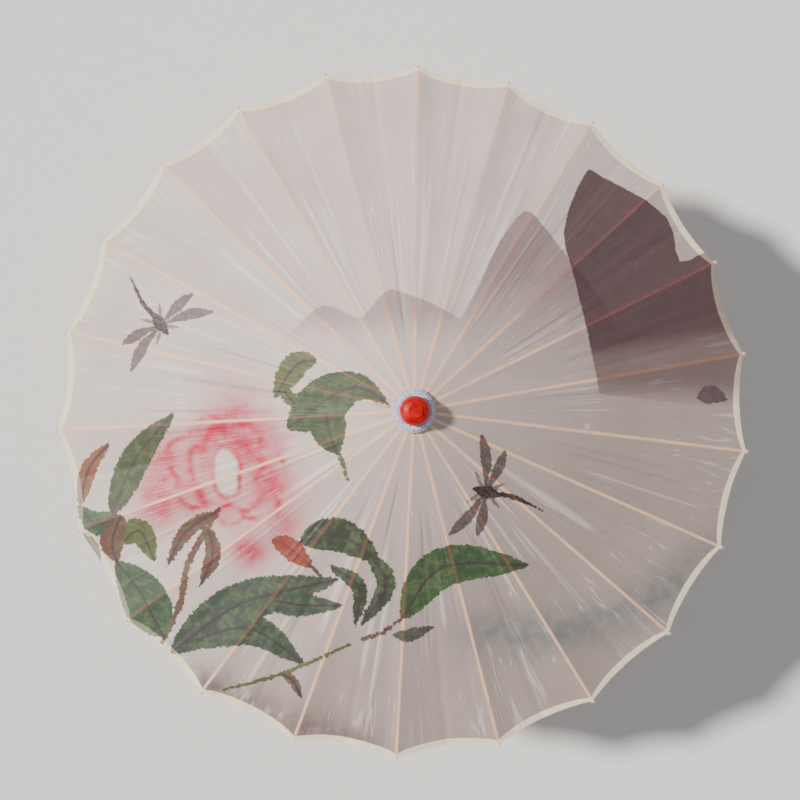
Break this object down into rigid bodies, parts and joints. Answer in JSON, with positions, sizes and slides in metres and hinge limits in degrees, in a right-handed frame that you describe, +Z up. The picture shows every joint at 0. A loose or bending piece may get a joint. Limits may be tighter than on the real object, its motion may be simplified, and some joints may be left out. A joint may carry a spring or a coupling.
{
  "type": "oil paper umbrella",
  "caption": "Open hand-painted parasol with a shallow scalloped canopy on bamboo ribs, a red lacquered finial, a straight pole and a folding rib and stretcher frame.",
  "frame": {"origin": "centre of the flat lower end of the handle, on the pole's axis", "axes": "+Z up along the pole towards the finial; the ribs stand slightly closer together on the +Y side; the catch faces +X"},
  "size_m": [0.8374, 0.8404, 0.5498],
  "materials": {
    "rib_bamboo": "split bamboo, scraped smooth",
    "stretcher_bamboo": "split bamboo, scraped smooth",
    "pole_bamboo": "varnished bamboo pole",
    "handle_lacquer": "dark lacquered hardwood",
    "dowel_bamboo": "bare bamboo",
    "red_lacquer": "glossy red lacquer on turned wood",
    "hub_wood": "turned hardwood",
    "cotton_cord": "waxed cotton cord",
    "canopy_silk": "oiled silk on paper, hand painted",
    "collar_cloth": "gathered oiled cloth"
  },
  "bodies": {
    "frame": {"pole": "pole_bamboo", "handle": "handle_lacquer", "handle_dowel": "dowel_bamboo", "end_cap": "red_lacquer", "crown": "hub_wood", "crown_cord": "cotton_cord", "crown_dowel": "dowel_bamboo", "canopy": "canopy_silk", "collar": "collar_cloth", "collar_cord": "cotton_cord", "finial": "red_lacquer", "catch_pin": "dowel_bamboo"},
    "rib_01": {"rib_01": "rib_bamboo"},
    "rib_02": {"rib_02": "rib_bamboo"},
    "rib_03": {"rib_03": "rib_bamboo"},
    "rib_04": {"rib_04": "rib_bamboo"},
    "rib_05": {"rib_05": "rib_bamboo"},
    "rib_06": {"rib_06": "rib_bamboo"},
    "rib_07": {"rib_07": "rib_bamboo"},
    "rib_08": {"rib_08": "rib_bamboo"},
    "rib_09": {"rib_09": "rib_bamboo"},
    "rib_10": {"rib_10": "rib_bamboo"},
    "rib_11": {"rib_11": "rib_bamboo"},
    "rib_12": {"rib_12": "rib_bamboo"},
    "rib_13": {"rib_13": "rib_bamboo"},
    "rib_14": {"rib_14": "rib_bamboo"},
    "rib_15": {"rib_15": "rib_bamboo"},
    "rib_16": {"rib_16": "rib_bamboo"},
    "rib_17": {"rib_17": "rib_bamboo"},
    "rib_18": {"rib_18": "rib_bamboo"},
    "rib_19": {"rib_19": "rib_bamboo"},
    "rib_20": {"rib_20": "rib_bamboo"},
    "rib_21": {"rib_21": "rib_bamboo"},
    "rib_22": {"rib_22": "rib_bamboo"},
    "stretcher_01": {"stretcher_01": "stretcher_bamboo"},
    "stretcher_02": {"stretcher_02": "stretcher_bamboo"},
    "stretcher_03": {"stretcher_03": "stretcher_bamboo"},
    "stretcher_04": {"stretcher_04": "stretcher_bamboo"},
    "stretcher_05": {"stretcher_05": "stretcher_bamboo"},
    "stretcher_06": {"stretcher_06": "stretcher_bamboo"},
    "stretcher_07": {"stretcher_07": "stretcher_bamboo"},
    "stretcher_08": {"stretcher_08": "stretcher_bamboo"},
    "stretcher_09": {"stretcher_09": "stretcher_bamboo"},
    "stretcher_10": {"stretcher_10": "stretcher_bamboo"},
    "stretcher_11": {"stretcher_11": "stretcher_bamboo"},
    "stretcher_12": {"stretcher_12": "stretcher_bamboo"},
    "stretcher_13": {"stretcher_13": "stretcher_bamboo"},
    "stretcher_14": {"stretcher_14": "stretcher_bamboo"},
    "stretcher_15": {"stretcher_15": "stretcher_bamboo"},
    "stretcher_16": {"stretcher_16": "stretcher_bamboo"},
    "stretcher_17": {"stretcher_17": "stretcher_bamboo"},
    "stretcher_18": {"stretcher_18": "stretcher_bamboo"},
    "stretcher_19": {"stretcher_19": "stretcher_bamboo"},
    "stretcher_20": {"stretcher_20": "stretcher_bamboo"},
    "stretcher_21": {"stretcher_21": "stretcher_bamboo"},
    "stretcher_22": {"stretcher_22": "stretcher_bamboo"},
    "runner": {"runner": "hub_wood", "runner_cord": "cotton_cord"},
    "catch": {"catch": "dowel_bamboo"}
  },
  "joints": [
    {"name": "canopy_fold", "type": "hinge", "parent": "frame", "child": "rib_01", "pos_m": [0.0005, 0.01599, 0.519], "axis": [-0.9995, 0.0314, 0], "range_deg": [0, 67], "deforming": ["canopy", "catch"]},
    {"name": "rib_02_hinge", "type": "hinge", "parent": "frame", "child": "rib_02", "pos_m": [0.00474, 0.01528, 0.519], "axis": [-0.955, 0.2965, 0], "range_deg": [0, 67]},
    {"name": "rib_03_hinge", "type": "hinge", "parent": "frame", "child": "rib_03", "pos_m": [0.00866, 0.01345, 0.519], "axis": [-0.8408, 0.5413, 0], "range_deg": [0, 67]},
    {"name": "rib_04_hinge", "type": "hinge", "parent": "frame", "child": "rib_04", "pos_m": [0.01197, 0.01062, 0.519], "axis": [-0.6635, 0.7482, 0], "range_deg": [0, 67]},
    {"name": "rib_05_hinge", "type": "hinge", "parent": "frame", "child": "rib_05", "pos_m": [0.01442, 0.00694, 0.519], "axis": [-0.4337, 0.9011, 0], "range_deg": [0, 67]},
    {"name": "rib_06_hinge", "type": "hinge", "parent": "frame", "child": "rib_06", "pos_m": [0.01578, 0.00267, 0.519], "axis": [-0.1667, 0.986, 0], "range_deg": [0, 67]},
    {"name": "rib_07_hinge", "type": "hinge", "parent": "frame", "child": "rib_07", "pos_m": [0.01589, -0.00188, 0.519], "axis": [0.1178, 0.993, 0], "range_deg": [0, 67]},
    {"name": "rib_08_hinge", "type": "hinge", "parent": "frame", "child": "rib_08", "pos_m": [0.01469, -0.00635, 0.519], "axis": [0.397, 0.9178, 0], "range_deg": [0, 67]},
    {"name": "rib_09_hinge", "type": "hinge", "parent": "frame", "child": "rib_09", "pos_m": [0.01221, -0.01034, 0.519], "axis": [0.6462, 0.7632, 0], "range_deg": [0, 67]},
    {"name": "rib_10_hinge", "type": "hinge", "parent": "frame", "child": "rib_10", "pos_m": [0.00864, -0.01347, 0.519], "axis": [0.8417, 0.54, 0], "range_deg": [0, 67]},
    {"name": "rib_11_hinge", "type": "hinge", "parent": "frame", "child": "rib_11", "pos_m": [0.00427, -0.01542, 0.519], "axis": [0.9637, 0.2669, 0], "range_deg": [0, 67]},
    {"name": "rib_12_hinge", "type": "hinge", "parent": "frame", "child": "rib_12", "pos_m": [-0.0005, -0.01599, 0.519], "axis": [0.9995, -0.0314, 0], "range_deg": [0, 67]},
    {"name": "rib_13_hinge", "type": "hinge", "parent": "frame", "child": "rib_13", "pos_m": [-0.00523, -0.01512, 0.519], "axis": [0.9451, -0.3269, 0], "range_deg": [0, 67]},
    {"name": "rib_14_hinge", "type": "hinge", "parent": "frame", "child": "rib_14", "pos_m": [-0.00947, -0.0129, 0.519], "axis": [0.8061, -0.5918, 0], "range_deg": [0, 67]},
    {"name": "rib_15_hinge", "type": "hinge", "parent": "frame", "child": "rib_15", "pos_m": [-0.01284, -0.00955, 0.519], "axis": [0.597, -0.8023, 0], "range_deg": [0, 67]},
    {"name": "rib_16_hinge", "type": "hinge", "parent": "frame", "child": "rib_16", "pos_m": [-0.01506, -0.00542, 0.519], "axis": [0.3386, -0.9409, 0], "range_deg": [0, 67]},
    {"name": "rib_17_hinge", "type": "hinge", "parent": "frame", "child": "rib_17", "pos_m": [-0.01598, -0.00088, 0.519], "axis": [0.0552, -0.9985, 0], "range_deg": [0, 67]},
    {"name": "rib_18_hinge", "type": "hinge", "parent": "frame", "child": "rib_18", "pos_m": [-0.01558, 0.00365, 0.519], "axis": [-0.2283, -0.9736, 0], "range_deg": [0, 67]},
    {"name": "rib_19_hinge", "type": "hinge", "parent": "frame", "child": "rib_19", "pos_m": [-0.01395, 0.00783, 0.519], "axis": [-0.4894, -0.8721, 0], "range_deg": [0, 67]},
    {"name": "rib_20_hinge", "type": "hinge", "parent": "frame", "child": "rib_20", "pos_m": [-0.01128, 0.01135, 0.519], "axis": [-0.7091, -0.7051, 0], "range_deg": [0, 67]},
    {"name": "rib_21_hinge", "type": "hinge", "parent": "frame", "child": "rib_21", "pos_m": [-0.0078, 0.01397, 0.519], "axis": [-0.8732, -0.4874, 0], "range_deg": [0, 67]},
    {"name": "rib_22_hinge", "type": "hinge", "parent": "frame", "child": "rib_22", "pos_m": [-0.00378, 0.01555, 0.519], "axis": [-0.9718, -0.236, 0], "range_deg": [0, 67]},
    {"name": "stretcher_01_hinge", "type": "hinge", "parent": "rib_01", "child": "stretcher_01", "pos_m": [0.00611, 0.19445, 0.45402], "axis": [-0.9995, 0.0314, 0], "range_deg": [-134, 0]},
    {"name": "stretcher_02_hinge", "type": "hinge", "parent": "rib_02", "child": "stretcher_02", "pos_m": [0.05768, 0.18579, 0.45402], "axis": [-0.955, 0.2965, 0], "range_deg": [-134, 0]},
    {"name": "stretcher_03_hinge", "type": "hinge", "parent": "rib_03", "child": "stretcher_03", "pos_m": [0.1053, 0.16358, 0.45402], "axis": [-0.8408, 0.5413, 0], "range_deg": [-134, 0]},
    {"name": "stretcher_04_hinge", "type": "hinge", "parent": "rib_04", "child": "stretcher_04", "pos_m": [0.14556, 0.12907, 0.45402], "axis": [-0.6635, 0.7482, 0], "range_deg": [-134, 0]},
    {"name": "stretcher_05_hinge", "type": "hinge", "parent": "rib_05", "child": "stretcher_05", "pos_m": [0.17529, 0.08437, 0.45402], "axis": [-0.4337, 0.9011, 0], "range_deg": [-134, 0]},
    {"name": "stretcher_06_hinge", "type": "hinge", "parent": "rib_06", "child": "stretcher_06", "pos_m": [0.19182, 0.03244, 0.45402], "axis": [-0.1667, 0.986, 0], "range_deg": [-134, 0]},
    {"name": "stretcher_07_hinge", "type": "hinge", "parent": "rib_07", "child": "stretcher_07", "pos_m": [0.19319, -0.02292, 0.45402], "axis": [0.1178, 0.993, 0], "range_deg": [-134, 0]},
    {"name": "stretcher_08_hinge", "type": "hinge", "parent": "rib_08", "child": "stretcher_08", "pos_m": [0.17856, -0.07723, 0.45402], "axis": [0.397, 0.9178, 0], "range_deg": [-134, 0]},
    {"name": "stretcher_09_hinge", "type": "hinge", "parent": "rib_09", "child": "stretcher_09", "pos_m": [0.14847, -0.12571, 0.45402], "axis": [0.6462, 0.7632, 0], "range_deg": [-134, 0]},
    {"name": "stretcher_10_hinge", "type": "hinge", "parent": "rib_10", "child": "stretcher_10", "pos_m": [0.10505, -0.16374, 0.45402], "axis": [0.8417, 0.54, 0], "range_deg": [-134, 0]},
    {"name": "stretcher_11_hinge", "type": "hinge", "parent": "rib_11", "child": "stretcher_11", "pos_m": [0.05192, -0.18749, 0.45402], "axis": [0.9637, 0.2669, 0], "range_deg": [-134, 0]},
    {"name": "stretcher_12_hinge", "type": "hinge", "parent": "rib_12", "child": "stretcher_12", "pos_m": [-0.00611, -0.19445, 0.45402], "axis": [0.9995, -0.0314, 0], "range_deg": [-134, 0]},
    {"name": "stretcher_13_hinge", "type": "hinge", "parent": "rib_13", "child": "stretcher_13", "pos_m": [-0.06359, -0.18385, 0.45402], "axis": [0.9451, -0.3269, 0], "range_deg": [-134, 0]},
    {"name": "stretcher_14_hinge", "type": "hinge", "parent": "rib_14", "child": "stretcher_14", "pos_m": [-0.11513, -0.15682, 0.45402], "axis": [0.8061, -0.5918, 0], "range_deg": [-134, 0]},
    {"name": "stretcher_15_hinge", "type": "hinge", "parent": "rib_15", "child": "stretcher_15", "pos_m": [-0.15607, -0.11614, 0.45402], "axis": [0.597, -0.8023, 0], "range_deg": [-134, 0]},
    {"name": "stretcher_16_hinge", "type": "hinge", "parent": "rib_16", "child": "stretcher_16", "pos_m": [-0.18305, -0.06586, 0.45402], "axis": [0.3386, -0.9409, 0], "range_deg": [-134, 0]},
    {"name": "stretcher_17_hinge", "type": "hinge", "parent": "rib_17", "child": "stretcher_17", "pos_m": [-0.19425, -0.01074, 0.45402], "axis": [0.0552, -0.9985, 0], "range_deg": [-134, 0]},
    {"name": "stretcher_18_hinge", "type": "hinge", "parent": "rib_18", "child": "stretcher_18", "pos_m": [-0.1894, 0.04442, 0.45402], "axis": [-0.2283, -0.9736, 0], "range_deg": [-134, 0]},
    {"name": "stretcher_19_hinge", "type": "hinge", "parent": "rib_19", "child": "stretcher_19", "pos_m": [-0.16965, 0.09521, 0.45402], "axis": [-0.4894, -0.8721, 0], "range_deg": [-134, 0]},
    {"name": "stretcher_20_hinge", "type": "hinge", "parent": "rib_20", "child": "stretcher_20", "pos_m": [-0.13716, 0.13796, 0.45402], "axis": [-0.7091, -0.7051, 0], "range_deg": [-134, 0]},
    {"name": "stretcher_21_hinge", "type": "hinge", "parent": "rib_21", "child": "stretcher_21", "pos_m": [-0.09482, 0.16987, 0.45402], "axis": [-0.8732, -0.4874, 0], "range_deg": [-134, 0]},
    {"name": "stretcher_22_hinge", "type": "hinge", "parent": "rib_22", "child": "stretcher_22", "pos_m": [-0.0459, 0.18905, 0.45402], "axis": [-0.9718, -0.236, 0], "range_deg": [-134, 0]},
    {"name": "runner_travel", "type": "hinge", "parent": "stretcher_01", "child": "runner", "pos_m": [0.0005, 0.01599, 0.38903], "axis": [-0.9995, 0.0314, 0], "range_deg": [0, 67]},
    {"name": "catch_press", "type": "hinge", "parent": "frame", "child": "catch", "pos_m": [0.0032, 0, 0.32213], "axis": [0, -1, 0], "range_deg": [0, 8.5], "stiffness_Nm_per_rad": 0.1, "springref_deg": -2.86}
  ],
  "couplings": [
    {"joint": "rib_02_hinge", "follows": "canopy_fold", "ratio": 1},
    {"joint": "rib_03_hinge", "follows": "canopy_fold", "ratio": 1},
    {"joint": "rib_04_hinge", "follows": "canopy_fold", "ratio": 1},
    {"joint": "rib_05_hinge", "follows": "canopy_fold", "ratio": 1},
    {"joint": "rib_06_hinge", "follows": "canopy_fold", "ratio": 1},
    {"joint": "rib_07_hinge", "follows": "canopy_fold", "ratio": 1},
    {"joint": "rib_08_hinge", "follows": "canopy_fold", "ratio": 1},
    {"joint": "rib_09_hinge", "follows": "canopy_fold", "ratio": 1},
    {"joint": "rib_10_hinge", "follows": "canopy_fold", "ratio": 1},
    {"joint": "rib_11_hinge", "follows": "canopy_fold", "ratio": 1},
    {"joint": "rib_12_hinge", "follows": "canopy_fold", "ratio": 1},
    {"joint": "rib_13_hinge", "follows": "canopy_fold", "ratio": 1},
    {"joint": "rib_14_hinge", "follows": "canopy_fold", "ratio": 1},
    {"joint": "rib_15_hinge", "follows": "canopy_fold", "ratio": 1},
    {"joint": "rib_16_hinge", "follows": "canopy_fold", "ratio": 1},
    {"joint": "rib_17_hinge", "follows": "canopy_fold", "ratio": 1},
    {"joint": "rib_18_hinge", "follows": "canopy_fold", "ratio": 1},
    {"joint": "rib_19_hinge", "follows": "canopy_fold", "ratio": 1},
    {"joint": "rib_20_hinge", "follows": "canopy_fold", "ratio": 1},
    {"joint": "rib_21_hinge", "follows": "canopy_fold", "ratio": 1},
    {"joint": "rib_22_hinge", "follows": "canopy_fold", "ratio": 1},
    {"joint": "stretcher_01_hinge", "follows": "canopy_fold", "ratio": -2},
    {"joint": "stretcher_02_hinge", "follows": "canopy_fold", "ratio": -2},
    {"joint": "stretcher_03_hinge", "follows": "canopy_fold", "ratio": -2},
    {"joint": "stretcher_04_hinge", "follows": "canopy_fold", "ratio": -2},
    {"joint": "stretcher_05_hinge", "follows": "canopy_fold", "ratio": -2},
    {"joint": "stretcher_06_hinge", "follows": "canopy_fold", "ratio": -2},
    {"joint": "stretcher_07_hinge", "follows": "canopy_fold", "ratio": -2},
    {"joint": "stretcher_08_hinge", "follows": "canopy_fold", "ratio": -2},
    {"joint": "stretcher_09_hinge", "follows": "canopy_fold", "ratio": -2},
    {"joint": "stretcher_10_hinge", "follows": "canopy_fold", "ratio": -2},
    {"joint": "stretcher_11_hinge", "follows": "canopy_fold", "ratio": -2},
    {"joint": "stretcher_12_hinge", "follows": "canopy_fold", "ratio": -2},
    {"joint": "stretcher_13_hinge", "follows": "canopy_fold", "ratio": -2},
    {"joint": "stretcher_14_hinge", "follows": "canopy_fold", "ratio": -2},
    {"joint": "stretcher_15_hinge", "follows": "canopy_fold", "ratio": -2},
    {"joint": "stretcher_16_hinge", "follows": "canopy_fold", "ratio": -2},
    {"joint": "stretcher_17_hinge", "follows": "canopy_fold", "ratio": -2},
    {"joint": "stretcher_18_hinge", "follows": "canopy_fold", "ratio": -2},
    {"joint": "stretcher_19_hinge", "follows": "canopy_fold", "ratio": -2},
    {"joint": "stretcher_20_hinge", "follows": "canopy_fold", "ratio": -2},
    {"joint": "stretcher_21_hinge", "follows": "canopy_fold", "ratio": -2},
    {"joint": "stretcher_22_hinge", "follows": "canopy_fold", "ratio": -2},
    {"joint": "runner_travel", "follows": "canopy_fold", "ratio": 1}
  ]
}
